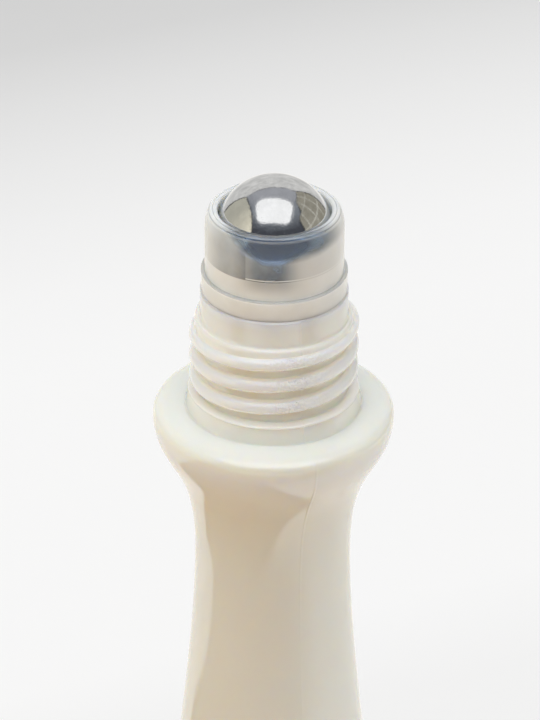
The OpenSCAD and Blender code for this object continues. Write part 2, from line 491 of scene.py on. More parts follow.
def mirrored_floor(nodes, x, y):
    """The room, the table, the paper strip, the paper near by, and the board over them."""
    diffuse = ray_kind(nodes, "Diffuse")
    front = nodes.blend(y.step(*TABLE_FROM), ROOM_DARK, TABLE_DARK)
    front = nodes.blend(y.step(*STRIP_FROM), front, PAPER_STRIP)
    front = nodes.blend(diffuse, front, TABLE_GLOW)
    paper = nodes.blend(diffuse, PAPER_CREAM, PAPER_GLOW)
    near = nodes.blend(y.step(*CREAM_FROM), PAPER_SHADED, paper)
    around_board = nodes.blend(y.step(*NEAR_FROM), front, near)
    board = nodes.blend(diffuse, BOARD_TAN, BOARD_GLOW)
    return nodes.blend(board_share(x, y), around_board, board)

# %% Floor
FLOOR_HALF = 6.0
FLOOR_GREY = (0.82, 0.82, 0.82, 1)
GIVEN = 0.72
BEHIND_Y = (-0.04, 0.0)

floor_paper, nodes = finish_nodes("floor_paper")
place = nodes.place()
x, y = nodes.parts(place)[:2]
lit = nodes.add("BsdfDiffuse", {}, {"Color": FLOOR_GREY})
# Its glow is painted light, greyer far off and to the left, as the light falls off.
paper = nodes.mix(GIVEN, lit, nodes.glow(painted_paper_light(nodes, x, y, place)))
seen = ray_kind(nodes, "Camera").most(ray_kind(nodes, "Transmission") * y.step(*BEHIND_Y))
nodes.close(nodes.mix(seen, nodes.glow(mirrored_floor(nodes, x, y)), paper))

floor = card("floor", [(x * FLOOR_HALF, y * FLOOR_HALF, 0) for x, y in SQUARE], floor_paper)
floor.visible_camera = True
floor.visible_shadow = True

# %% [markdown]
# The room itself is the world: nearly black low down in front, and grey overhead and behind,
# where the ceiling and the walls catch the soft box's light.

# %% Room
WALL_STOPS = [(0.0, (0.06, 0.06, 0.075)), (0.45, (0.08, 0.085, 0.10)),
              (0.75, (0.25, 0.27, 0.30)), (1.0, (0.43, 0.44, 0.47))]
BEHIND_GAIN, WALL_MOTTLE, WALL_START = 0.5, 0.3, 0.15
SKY_GREY = (0.60, 0.60, 0.60)

room = bpy.data.worlds.new("room")
bpy.context.scene.world = room
room.use_nodes = True
nodes = Nodes(room.node_tree, "room")
toward = nodes.add("TexCoord")
y, z = nodes.parts(toward)[1:]
mottle = nodes.noise(toward, scale=14.0, detail=3.0) * WALL_MOTTLE
height = z + y.most(0.0) * BEHIND_GAIN + mottle - WALL_START
walls = nodes.add("ValToRGB", {"stops": WALL_STOPS}, {0: height})
sky = nodes.blend(ray_kind(nodes, "Camera"), walls, SKY_GREY)
nodes.close(nodes.add("Background", {}, {"Color": sky, "Strength": 1.0}), "OutputWorld")

# %% [markdown]
# ## Ivory plastic
#
# The bottle is moulded in a glossy ivory plastic that lets a little light in, so it looks waxy:
# edges glow and hollows turn a warmer tan, partly through subsurface scattering and partly as
# painted glow. A plain coloured surface would look painted, and subsurface scattering doesn't.
# The tone runs by height, and its paler stops are painted light: a painted glow on and under the
# shoulder, where the lit crown shines through, and painted light at the neck's foot and the rim.
# Three values stored on the mesh mark the crests of the thread, their grain and the hollows
# between them; the crests carry a painted reflection and the hollows a painted glow. A slow
# cloud keeps every tone from being one flat value and makes the gloss a little uneven. The gloss
# is as strong as that of a glaze, because the picture shows the floor and its board in the waist.

# %% Bottle finish
TONE_LOW, TONE_HIGH = 56.0, 76.0
# Paler stops are painted light: glow on and under the shoulder, at the neck's foot and the rim.
IVORY_TONES_AND_GLOW = [
    (57.0, (0.87, 0.84, 0.755)), (60.5, (0.95, 0.93, 0.87)), (62.5, (0.98, 0.97, 0.93)),
    (63.7, (0.97, 0.92, 0.785)), (64.5, (0.985, 0.935, 0.82)), (66.2, (0.99, 0.955, 0.875)),
    (66.6, (0.925, 0.905, 0.84)), (75.0, (0.925, 0.905, 0.84)), (75.5, (0.99, 0.99, 0.97)),
]
CLOUD_TONE, CLOUD_SHARE = (0.90, 0.885, 0.815), 0.2
# Painted glow: the hollows of the thread are painted paler and warmer.
HOLLOW_GLOW_TONE = (0.995, 0.95, 0.85)
# Painted reflection: the crests take a cooler, greyer tone, as if they mirrored pale paper.
CREST_REFLECTION_TONE, CREST_REFLECTION_SHARE = (0.84, 0.885, 0.925), 0.9
SKIN_DEPTH, CLOUD_RELIEF, SPECK_RELIEF, GRAIN_RELIEF = 0.00001, 0.4, 0.1, 26.0
IVORY_ROUGH, IVORY_UNEVEN, IVORY_IOR = 0.035, 0.04, 2.0
IVORY_DEPTH, IVORY_RADII = 0.0026, (1.0, 0.8, 0.55)
WAXY = 0.9

ivory_plastic, nodes = finish_nodes("ivory_plastic")
place = nodes.place()
height = nodes.parts(place)[2] / MM
cloud = nodes.noise(place, scale=160.0, detail=3.0)
speck = nodes.noise(place, scale=3800.0)

span = TONE_HIGH - TONE_LOW
stops = [((at - TONE_LOW) / span, tone) for at, tone in IVORY_TONES_AND_GLOW]
tone = nodes.add("ValToRGB", {"stops": stops}, {0: (height - TONE_LOW) / span})
tone = nodes.blend(cloud.step(*SOFT_PATCH) * CLOUD_SHARE, tone, CLOUD_TONE)
# Painted glow: the hollows between the crests are painted paler and warmer.
tone = nodes.blend(nodes.stored("hollow"), tone, HOLLOW_GLOW_TONE)
# Painted reflection: the crests are painted a cooler, greyer tone.
tone = nodes.blend(nodes.stored("crest") * CREST_REFLECTION_SHARE, tone, CREST_REFLECTION_TONE)
relief = cloud * CLOUD_RELIEF + speck * (nodes.stored("grain") * GRAIN_RELIEF + SPECK_RELIEF)
nodes.close(nodes.add("BsdfPrincipled", {"subsurface_method": "RANDOM_WALK"}, {
    "Base Color": tone, "Roughness": cloud * IVORY_UNEVEN + IVORY_ROUGH, "IOR": IVORY_IOR,
    "Normal": nodes.bump(SKIN_DEPTH, relief), "Subsurface Weight": WAXY,
    "Subsurface Radius": IVORY_RADII, "Subsurface Scale": IVORY_DEPTH,
}))

# %% [markdown]
# ## Surfaces from numbers
#
# Bottle and housing are turned about one axis, so each mesh is a section carried round it. The
# section is a row of points (radius, height) and the turn is a row of angles; numpy works out
# all corners at once. A section is put together from arcs and one kind of long curve.

# %% Curves of a section
def arc(centre, radii, start, end, count):
    """Points centre + radii * (cos t, sin t), for t from start to end in degrees."""
    t = np.radians(np.linspace(start, end, count))
    return np.array(centre) + np.array(radii) * np.stack([np.cos(t), np.sin(t)], 1)


def rising_curve(p, q, shares, count, inset=0.0):
    """Cubic from p up to q with handles straight up from p and down from q, a share of the
    height long. The curve is moved in by inset along its own normals."""
    t = np.linspace(0, 1, count)[:, None]
    s = 1 - t
    p, q = np.array(p, float), np.array(q, float)
    rise = q[1] - p[1]
    up_p, up_q = np.array([0, shares[0] * rise]), np.array([0, shares[1] * rise])
    point = (s**3 + 3 * s**2 * t) * p + (3 * s * t**2 + t**3) * q
    point = point + 3 * s**2 * t * up_p - 3 * s * t**2 * up_q
    way = 6 * s * t * (q - p) + 3 * s * (s - 2 * t) * up_p - 3 * t * (2 * s - t) * up_q
    way = way / np.linalg.norm(way, axis=1)[:, None]
    return point + inset * np.stack([-way[:, 1], way[:, 0]], 1)


print("an eighth of a circle in 3 points:", np.round(arc((0, 0), 1, 0, 45, 3), 2).tolist())

# %% [markdown]
# ## The bottle
#
# Its outside is one section: a foot, a long curve in to the waist and out to the shoulder, a
# rounded crown, and the neck. A cylinder pulled into shape would come close to these curves,
# and a section in millimetres meets them. It is cut in three at the two ends of the thread,
# since the stretch between them gets a grid of its own.

# %% Bottle measures, in millimetres above the table
BODY_R, WAIST_R, WAIST_Z = 10.7, 6.9, 49.8
FOOT_CORNER, FOOT_RING, PUSH_UP, WALL = 3.0, 1.6, 1.0, 1.1
FOOT_R = BODY_R - FOOT_CORNER
SHOULDER_R, SHOULDER_Z = 10.5, 63.3
CROWN_W, CROWN_H, CROWN_POWER, CROWN_POINTS = 2.85, 1.22, 2.9, 40
NECK_FOOT_R, NECK_BASE_R, NECK_Z, NECK_FILLET = 7.65, 7.3, 64.52, 0.15
NECK_DRAFT, NECK_STEP = 0.02, 0.06
BEAD_Z, BEAD_TOP, BEAD_R, BEAD_CURVE, BEAD_RISE = 65.9, 66.21, 7.45, 0.14, 0.03
ROOT_R, ROOT_Z = 6.55, 66.45
LEAD_R, LEAD_Z, LEAD_FILLET = 6.375, 73.3, (0.21, 0.35)
LEDGE_R, LEDGE_CURVE = 6.83, (0.24, 0.38)
RIM_Z, RIM_ROUND, RIM_BEVEL, RIM_TIP = 75.85, 0.1, 0.21, [(0.155, 0.01), (0.17, 0)]
BORE_R, MOUTH = 4.9, 0.25

LOWER_CURVE = (BODY_R, FOOT_CORNER), (WAIST_R, WAIST_Z), (0.25, 0.28)
UPPER_CURVE = (WAIST_R, WAIST_Z), (SHOULDER_R, SHOULDER_Z), (0.68, 0.29)


# %% Bottle section
def crown_curve():
    """From the shoulder up over the crown: (|r| / width)^p + (|z| / height)^p = 1, cut off where
    the fillet of the neck begins."""
    turn = np.radians(np.linspace(0, 90, CROWN_POINTS)[1:])
    crown = np.stack([SHOULDER_R - CROWN_W + CROWN_W * np.cos(turn) ** (2 / CROWN_POWER),
                      SHOULDER_Z + CROWN_H * np.sin(turn) ** (2 / CROWN_POWER)], 1)
    return crown[crown[:, 0] > NECK_FOOT_R + NECK_FILLET + NECK_DRAFT]


def below_thread():
    """The outside, from the axis at the foot up to the top of the bead."""
    above_bead = BEAD_TOP + BEAD_CURVE + BEAD_RISE
    return np.vstack([
        [[0, PUSH_UP]],
        arc((0, 0), (FOOT_R - FOOT_RING, PUSH_UP), 80, 0, 8),
        arc((FOOT_R, FOOT_CORNER), FOOT_CORNER, -90, 0, 12),
        rising_curve(*LOWER_CURVE, 36)[1:],
        rising_curve(*UPPER_CURVE, 30)[1:],
        crown_curve(),
        arc((NECK_FOOT_R + NECK_FILLET, NECK_Z + NECK_FILLET), NECK_FILLET, -90, -180, 6),
        [[NECK_BASE_R + NECK_DRAFT, BEAD_Z - NECK_STEP], [NECK_BASE_R, BEAD_Z]],
        arc((BEAD_R - BEAD_CURVE, BEAD_TOP - BEAD_CURVE), BEAD_CURVE, -25, 85, 8),
        arc((ROOT_R + BEAD_CURVE, above_bead), BEAD_CURVE, -90, -180, 5),
    ])


def above_thread():
    """The outside, from the ledge up the lead-in to the rim."""
    return np.vstack([
        arc((LEDGE_R - LEDGE_CURVE[0], LEAD_Z - LEDGE_CURVE[1]), LEDGE_CURVE, 0, 90, 9),
        arc((LEAD_R + LEAD_FILLET[0], LEAD_Z + LEAD_FILLET[1]), LEAD_FILLET, -90, -180, 7)[1:],
        arc((LEAD_R - RIM_ROUND, RIM_Z - RIM_BEVEL), RIM_ROUND, 0, 40, 5),
        [[LEAD_R - inward, RIM_Z - down] for inward, down in RIM_TIP],
    ])


def inside():
    """The inside, from the axis at the bottom up to the rim."""
    inner_h = CROWN_H - WALL
    inner_w = CROWN_W * inner_h / CROWN_H
    return np.vstack([
        [[0, PUSH_UP + WALL]],
        arc((0, WALL), (FOOT_R - FOOT_RING, PUSH_UP), 80, 0, 4),
        arc((FOOT_R, FOOT_CORNER), FOOT_CORNER - WALL, -90, 0, 6),
        rising_curve(*LOWER_CURVE, 14, WALL)[1:],
        rising_curve(*UPPER_CURVE, 12, WALL)[1:],
        arc((SHOULDER_R - WALL - inner_w, SHOULDER_Z), (inner_w, inner_h), 0, 90, 4)[1:],
        arc((BORE_R + WALL, NECK_Z), WALL, -90, -180, 5),
        [[BORE_R, RIM_Z - MOUTH], [BORE_R + MOUTH, RIM_Z]],
    ])


print("section points:", len(below_thread()), len(above_thread()), len(inside()))

# %% [markdown]
# ## The thread
#
# A ridge climbs the root cylinder by one pitch a turn. Its upper face bulges and its lower face
# is steeper, and it fades out at both ends. On a plain grid its edges would cross the rows of
# faces and turn out ragged, so the grid climbs with it: going once round, a row ends where the
# row one pitch higher began. Rows that would pass below the bead or above the ledge are pressed
# flat against those rings, and welding makes one corner of theirs.

# %% Ridge
PITCH, CREST_R = 2.117, 7.325
FRONT_CREST = 72.02
RIDGE_UP, RIDGE_DOWN = 0.70, 0.52
UP_POWER, DOWN_POWER = 1.85, 2.8
RIDGE_LAPS = (-3, -2, -1, 0)
TOP_FADE, BOTTOM_FADE = (0.30, 0.62), (-2.62, -2.25)
LEDGE_RAMP = (0.5, 0.7)
LEDGE_BLEND, END_BLEND = 0.10, 0.3
THREAD_ENDS = below_thread()[-1, 1], above_thread()[0, 1]


def smooth_share(x, low, high):
    """0 below low, 1 above high, and 3 s^2 - 2 s^3 of the share s between them."""
    s = np.clip((x - low) / (high - low), 0, 1)
    return s * s * (3 - 2 * s)


def ridge_out(away):
    """Share of the ridge's height at a distance above (+) or below (-) its middle:
    (1 - s^p)^(1/p), where s is the share of the half height on that side."""
    up = 1 - np.clip(away / RIDGE_UP, 0, 1) ** UP_POWER
    down = 1 - np.clip(-away / RIDGE_DOWN, 0, 1) ** DOWN_POWER
    return np.where(away > 0, up ** (1 / UP_POWER), down ** (1 / DOWN_POWER))


def thread_out(around, height):
    """How far ridge and ledge stand out of the root, for a share of a turn from the front and a
    height. Ledge: everything above the topmost ridge, which is one lap lower past the back."""
    ridge = np.zeros(np.broadcast(around, height).shape)
    for lap in RIDGE_LAPS:
        turns = around + lap
        fade = np.minimum(1 - smooth_share(turns, *TOP_FADE), smooth_share(turns, *BOTTOM_FADE))
        ridge = np.maximum(ridge, fade * ridge_out(height - FRONT_CREST - PITCH * turns))
    above = [smooth_share(height - FRONT_CREST - PITCH * (around - lap), -LEDGE_BLEND, LEDGE_BLEND)
             for lap in (0, 1)]
    ledge = np.maximum(above[0], above[1] * smooth_share(around, *LEDGE_RAMP))
    low, high = THREAD_ENDS
    at_top = smooth_share(height, high - END_BLEND, high)
    ridge = ridge * smooth_share(height, low, low + END_BLEND) * (1 - at_top)
    ledge = np.maximum(ledge, at_top)
    return np.maximum(ridge * (CREST_R - ROOT_R), ledge * (LEDGE_R - ROOT_R))

# %% [markdown]
# The rows of one pitch stand closer together where the ridge is steep, so that its round
# corners get as many faces as they need.

# %% Rows of a pitch
PITCH_ROWS, ROW_MARGIN, ROW_SAMPLES = 30, 0.1, 4001


def row_heights():
    """Heights of a pitch's rows over its ridge's middle, evenly spaced along the profile."""
    away = np.linspace(-RIDGE_DOWN - ROW_MARGIN, PITCH - RIDGE_DOWN - ROW_MARGIN, ROW_SAMPLES)
    out = ridge_out(away) * (CREST_R - ROOT_R)
    length = np.concatenate([[0], np.cumsum(np.hypot(np.diff(away), np.diff(out)))])
    return np.interp(np.arange(PITCH_ROWS) / PITCH_ROWS * length[-1], length, away)


rows = row_heights()
print("rows of a pitch, in mm from the ridge's middle:", np.round(rows, 2))

# %% [markdown]
# The mould was made in two halves, which leaves a hair-thin line down both sides of the bottle.
# The nearer one stands 20.5 degrees to the right of the front. The line is strongest at the
# neck and the shoulder and dies away towards the foot. A bump map couldn't show in the outline,
# so it is a real rib, and extra columns of the grid stand close together there.

# %% Parting line and columns
FRONT = 0.25
COLUMNS, COLUMN_GAP = 232, 0.0012
PARTING = math.radians(20.5 - 90)
PARTING_COLUMNS = np.radians([-1.5, -1.05, -0.75, -0.5, -0.25, 0, 0.25, 0.5, 0.75, 1.05, 1.5])
PARTING_H, PARTING_HALF = 0.03, 0.075
PARTING_LEAST, PARTING_FADE = 0.25, (45.0, 58.0)
PARTING_FROM_R, SMALL_R = 3.0, 1.0


def turn_shares():
    """Columns as shares of a turn from the front, with extra ones at the two parting lines."""
    even = np.arange(COLUMNS) / COLUMNS
    extra = np.concatenate([PARTING + PARTING_COLUMNS, PARTING + np.pi + PARTING_COLUMNS])
    extra = (extra / (2 * np.pi) + FRONT) % 1.0
    clear = np.abs(even[:, None] - extra).min(1) > COLUMN_GAP
    return np.sort(np.concatenate([even[clear], extra]))


def parting_out(around, radius, height):
    """A low bell-shaped rib, PARTING_HALF wide each way whatever the radius."""
    off = (2 * np.pi * (around - FRONT) - PARTING + np.pi / 2) % np.pi - np.pi / 2
    strength = PARTING_LEAST + (1 - PARTING_LEAST) * smooth_share(height, *PARTING_FADE)
    return strength * PARTING_H * np.exp(-((off * radius / PARTING_HALF) ** 2))


around = turn_shares()
print("columns round the bottle:", len(around))

# %% [markdown]
# The three stretches are worked out as grids of corners, joined with faces, and welded where
# their rings meet.

# %% Grids
WELD, SLIVER = 1e-8, 1e-9


def ring_grid(section, around, ribbed):
    """A turned section: radius and height of each corner, the parting line added where ribbed."""
    radius = np.repeat(section[:, :1], len(around), 1)
    height = np.repeat(section[:, 1:], len(around), 1)
    line = parting_out(around[None, :], np.maximum(radius, SMALL_R), height)
    return radius + line * ribbed[:, None], height


def thread_grid(around):
    """The climbing grid: row i of column a is at rows[i] + PITCH * a, held between the ends."""
    laps = np.arange(RIDGE_LAPS[0] - 1, RIDGE_LAPS[-1] + 2)
    heights = (FRONT_CREST + rows[None, :] + PITCH * laps[:, None]).reshape(-1)
    height = np.clip(heights[:, None] + PITCH * around[None, :], *THREAD_ENDS)
    radius = ROOT_R + thread_out(around[None, :], height)
    return radius + parting_out(around[None, :], radius, height), height


def grid_faces(start, rows, columns, climb=0):
    """Faces of a grid whose last column joins the first, climb rows further up."""
    i, j = np.arange(rows - 1)[:, None], np.arange(columns)[None, :]
    k = (j + 1) % columns
    up = i + np.where(k == 0, climb, 0)
    here, there = i * columns + j, up * columns + k
    quads = np.stack([here, there, there + columns, here + columns], 2)[up + 1 < rows]
    return (quads + start).reshape(-1, 4).tolist()


def welded_mesh(name, corners, faces, sharp):
    """A smooth mesh with doubled corners merged, sharp above an angle in degrees."""
    mesh = bpy.data.meshes.new(name)
    mesh.from_pydata((corners * MM).tolist(), [], faces)
    welded = bmesh.new()
    welded.from_mesh(mesh)
    bmesh.ops.remove_doubles(welded, verts=welded.verts, dist=WELD)
    bmesh.ops.dissolve_degenerate(welded, edges=welded.edges, dist=SLIVER)
    print(name, "has open edges:", sum(not e.is_manifold for e in welded.edges))
    welded.to_mesh(mesh)
    welded.free()
    mesh.polygons.foreach_set("use_smooth", np.ones(len(mesh.polygons), bool))
    mesh.set_sharp_from_angle(angle=math.radians(sharp))
    return mesh

# %% Bottle mesh
def turned_bottle():
    """Corners and faces of the foot and body, the thread, and the neck with the inside. The two
    ends of the section lie on the axis, and each closes with a fan of triangles."""
    low, high = below_thread(), np.vstack([above_thread(), inside()[::-1]])
    outer = np.arange(len(high) - 1) < len(above_thread())
    grids = [
        (*ring_grid(low[1:], around, low[1:, 0] > PARTING_FROM_R), 0),
        (*thread_grid(around), PITCH_ROWS),
        (*ring_grid(high[:-1], around, outer), 0),
    ]
    angle = 2 * np.pi * (around - FRONT)
    corners, faces, count = [], [], 0
    for radius, height, climb in grids:
        grid = np.stack([radius * np.cos(angle), radius * np.sin(angle), height], 2)
        corners.append(grid.reshape(-1, 3))
        faces += grid_faces(count, len(radius), len(around), climb)
        count += radius.size
    j = np.arange(len(around))
    k = (j + 1) % len(around)
    top, centre = count - len(around), np.full(len(j), count)
    faces += np.stack([centre, k, j], 1).tolist()
    faces += np.stack([centre + 1, top + j, top + k], 1).tolist()
    corners.append([[0, 0, low[0, 1]], [0, 0, high[-1, 1]]])
    return np.vstack(corners), faces


bottle_mesh = welded_mesh("bottle_shell", *turned_bottle(), sharp=55)

# %% [markdown]
# The crests of the thread are painted a cooler, greyer tone than the rest, a painted
# reflection of pale paper, and they are not as smooth: the mould was cut there, and its marks
# break the light up into sparkles on one side. Between the crests the plastic is painted paler
# and warmer, as a painted glow of light coming in through the ridges. Values stored on each
# corner say how strongly, and the finish reads them.

# %% Crests, their grain and the hollows
CREST_FROM, HOLLOW_TO = (6.8, 7.0), (6.6, 7.0)
CREST_FROM_Z, HOLLOW_TO_Z = ROOT_Z + 0.2, LEAD_Z - 0.5
INSIDE_R = BORE_R + 0.5
GRAIN_AT, GRAIN_HALF = -72, 30

place = np.empty(len(bottle_mesh.vertices) * 3, np.float32)
bottle_mesh.vertices.foreach_get("co", place)
x, y, z = place.reshape(-1, 3).T / MM
out = np.hypot(x, y)
side = np.degrees(np.arctan2(y, x)) - GRAIN_AT
crest = smooth_share(out, *CREST_FROM) * (z > CREST_FROM_Z) * (z < LEAD_Z)
grain = crest * np.clip(1 - np.abs(side) / GRAIN_HALF, 0, 1)
# Where the hollows of the thread get their painted glow.
hollow = (1 - smooth_share(out, *HOLLOW_TO)) * (z > ROOT_Z) * (z < HOLLOW_TO_Z) * (out > INSIDE_R)
for name, value in (("grain", grain), ("hollow", hollow), ("crest", crest)):
    layer = bottle_mesh.attributes.new(name, "FLOAT", "POINT")
    layer.data.foreach_set("value", value.astype(np.float32))
    print(name, "covers", int(np.count_nonzero(value)), "corners of", len(value))

# %% [markdown]
# A finished mesh becomes a piece that rides on a body of the frame and stands for one of its
# solids. The solid stays in the frame for collision, and is hidden.

# %% Bottle
def show_piece(name, mesh, material, body, node):
    """Puts the mesh in the scene as a piece that rides on a body and stands for a solid."""
    piece = bpy.data.objects.new(name, mesh)
    bpy.context.scene.collection.objects.link(piece)
    mesh.materials.append(material)
    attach(piece, body)
    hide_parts(node)
    print(name, "has", sum(len(p.vertices) - 2 for p in mesh.polygons), "triangles")


show_piece("bottle_shell", bottle_mesh, ivory_plastic, "bottle", "bottle")

# %% [markdown]
# ## Milky plastic
#
# The housing is undyed plastic: light goes through it, but scatters on the way, so the ball
# shows through as a soft dark shape where it lies close behind the wall. Part of the finish is
# rough glass and part is a pale body that scatters.
#
# The share of glass is drawn as masks over x, y and height, in millimetres. It is large above,
# where the ball nearly touches the wall, and middling down to the ledge under the ball. Along
# the ledge's edge the wall is milkier, a painted highlight in a pale hair line. Below the ledge
# only the middle is a little clear, which shows darker as painted shade, and the top of the
# flange is clearer so that it shows darker, also painted shade. The left side is one even tone,
# and the lip is milkier than the wall, with two darker lines round it.

# %% Zones of the housing
LEFT_X, FRONT_Y, CENTRE_X = -2.42, -3.2, -0.4
LEFT_BLUR, FRONT_BLUR, CENTRE_BLUR = (-0.04, 0.04), (-1.6, 1.4), (0.8, 3.2)
INNER_Z, INNER_SLOPE, INNER_BLUR, OUTER_SHARE = 82.2, 1.1, (-3.6, -1.4), 0.2
UPPER_BLUR, UPPER_CLOUD, UPPER_SLOPE, SLOPE_FROM, UPPER_DIP = (80.8, 82.1), 0.7, 0.17, -1.0, 0.4
LOWER_CENTRE, LOWER_CLOUD, LOWER_LEAST, LOWER_LEFT = 0.55, 0.5, 0.10, 0.18
RIGHT_FADE, RIGHT_SHARE = (0.5, 3.2), 0.6
# The ledge's pale hair line is a painted highlight.
LEDGE_BLUR, PAINTED_LEDGE_GLINT, GLINT_BLUR = (79.42, 79.5), 79.62, (0.02, 0.08)
# The clearer middle under the ledge is painted shade.
UNDER_RISE, UNDER_SHADE_SHARE = (77.9, 79.4), 0.45
LIP_RISE, LIP_MILK, LIP_FRONT, BACK_SHARE = (82.95, 83.1), 0.6, 0.45, 0.25
# The clearer top of the flange is painted shade.
BRIM_RISE, BRIM_FALL, BRIM_SHADE_SHARE = (77.58, 77.62), (77.70, 77.74), 0.4
LIP_LINES, LIP_LINE_BLUR, LIP_LINE_SHARE = (5.25, 5.57), (0.015, 0.06), 0.35
CLEAR_SHARE, CLEAR_LEAST = 0.87, 0.05


def clear_share(nodes, place, cloud):
    """The share of glass in the housing's plastic, with a painted highlight and painted shade in
    it.
    """
    x, y, height = (axis / MM for axis in nodes.parts(place))
    radius = (x * x + y * y).root()
    left = (LEFT_X - x).step(*LEFT_BLUR)
    front = (FRONT_Y - y).step(*FRONT_BLUR)
    centre = x.near(CENTRE_X, *CENTRE_BLUR)
    inner = (x + (height - INNER_Z) * INNER_SLOPE + cloud).step(*INNER_BLUR)
    upper = height + cloud * UPPER_CLOUD - x.most(SLOPE_FROM) * UPPER_SLOPE + centre * UPPER_DIP
    upper = upper.step(*UPPER_BLUR) * (inner * (1 - OUTER_SHARE) + OUTER_SHARE)
    lower = centre * LOWER_CENTRE + cloud * LOWER_CLOUD + LOWER_LEAST
    lower = lower * (1 - x.step(*RIGHT_FADE) * RIGHT_SHARE) + left * LOWER_LEFT
    lower = lower * height.step(*LEDGE_BLUR)
    # Painted highlight: the wall is milkier along the ledge's edge, a pale hair line.
    lower = lower * (1 - height.near(PAINTED_LEDGE_GLINT, *GLINT_BLUR) * (1 - left))
    # Painted shade: the middle under the ledge is clearer, so it shows darker.
    under = height.band(UNDER_RISE, LEDGE_BLUR) * centre * UNDER_SHADE_SHARE
    lip = height.step(*LIP_RISE)
    clear = upper.most(lower).most(under) * (1 - lip * (LIP_MILK - front * LIP_FRONT))
    clear = clear * (front * (1 - BACK_SHARE) + BACK_SHARE)
    # Painted shade: the top of the flange is clearer, so it shows darker than its lit top would.
    clear = clear.most(height.band(BRIM_RISE, BRIM_FALL) * BRIM_SHADE_SHARE)
    lines = [radius.near(at, *LIP_LINE_BLUR) for at in LIP_LINES]
    clear = clear + lip * lines[0].most(lines[1]) * LIP_LINE_SHARE
    return (clear * CLEAR_SHARE + CLEAR_LEAST).least(1.0)

# %% Housing finish
MILK_DULL, MILK_PALE, MILK_PATCH = (0.85, 0.88, 0.875), (0.90, 0.93, 0.925), (0.35, 0.7)
MILK_ROUGH, GLASS_ROUGH, MILKY_UNEVEN = 0.14, 0.08, 0.10
MILK_IOR, GLASS_IOR = 1.5, 1.4
MILK_DEPTH, MILK_RADII = 0.0010, (1.0, 0.95, 0.85)
GLASS_BLUE = (0.68, 0.82, 1.0, 1)

milky_plastic, nodes = finish_nodes("milky_plastic")
place = nodes.place()
cloud = nodes.noise(place, scale=420.0, detail=3.0)
skin = nodes.bump(SKIN_DEPTH, cloud)
milk = nodes.add("BsdfPrincipled", {"subsurface_method": "RANDOM_WALK"}, {
    "Base Color": nodes.blend(cloud.step(*MILK_PATCH), MILK_DULL, MILK_PALE), "Normal": skin,
    "Roughness": cloud * MILKY_UNEVEN + MILK_ROUGH, "IOR": MILK_IOR, "Subsurface Weight": WAXY,
    "Subsurface Radius": MILK_RADII, "Subsurface Scale": MILK_DEPTH,
})
glass = nodes.add("BsdfPrincipled", {}, {
    "Base Color": GLASS_BLUE, "Roughness": cloud * MILKY_UNEVEN + GLASS_ROUGH, "Normal": skin,
    "IOR": GLASS_IOR, "Transmission Weight": 1.0,
})
nodes.close(nodes.mix(clear_share(nodes, place, cloud), milk, glass))

# %% [markdown]
# ## The housing
#
# A flange sits on the bottle's rim, a plug fills the neck below it, and a wall above it turns
# in to a lip that is narrower than the ball. The inside is a cup that follows the ball, down to
# a ledge and a floor with the feed hole. Two hair lines run round the lip, one at the edge of
# its flat top and one on the curve, where the two parts of the mould met.

# %% Housing measures, in millimetres above the table
BALL_R, BALL_Z, CUP_R = 5.0, 81.15, 5.05
HOUSING_R, LIP_Z, LIP_CURVE = 5.95, 83.4, 1.8
LIP_R, LIP_TOP_R, LIP_EDGE_R, LIP_BEVEL = 4.85, 4.95, 5.3, 0.1
GROOVE_HALF, GROOVE_DEPTH = 0.04, 0.03
LIP_RIB_R, LIP_RIB_H, LIP_RIB_HALF = 5.65, 0.03, 0.05
CUP_LEDGE_Z, FEED_R, FLOOR_T = 79.4, 3.0, 1.7
FEED_Z = BALL_Z - math.sqrt(CUP_R**2 - FEED_R**2)
FLANGE_R, FLANGE_H, FLANGE_DRAFT, FLANGE_EDGE, WALL_FILLET = 6.27, 1.8, 0.04, 0.03, 0.05
PLUG_R, PLUG_BORE_R, PLUG_Z, PLUG_CHAMFER = 4.8, 3.9, 68.85, 0.1
PLUG_BEADS, PLUG_STEP = 3, 2.179
PLUG_BEAD = [(0, 0.15), (0.14, 0.45), (0.14, 0.6), (0, 0.9)]


# %% Housing section
def lip_curve():
    """The wall's quarter curve in to the lip, with a hair line raised on it along its normal:
    radius r and height z gain LIP_RIB_H * exp(-(distance from the line)^2)."""
    curve = arc((LIP_EDGE_R, LIP_Z - LIP_CURVE), (HOUSING_R - LIP_EDGE_R, LIP_CURVE), 0, 90, 60)
    way = np.gradient(curve, axis=0)
    way = way / np.linalg.norm(way, axis=1)[:, None]
    line = curve[np.argmin(np.abs(curve[:, 0] - LIP_RIB_R))]
    bell = np.exp(-(np.linalg.norm(curve - line, axis=1) / LIP_RIB_HALF) ** 2)
    return curve + LIP_RIB_H * bell[:, None] * np.stack([way[:, 1], -way[:, 0]], 1)


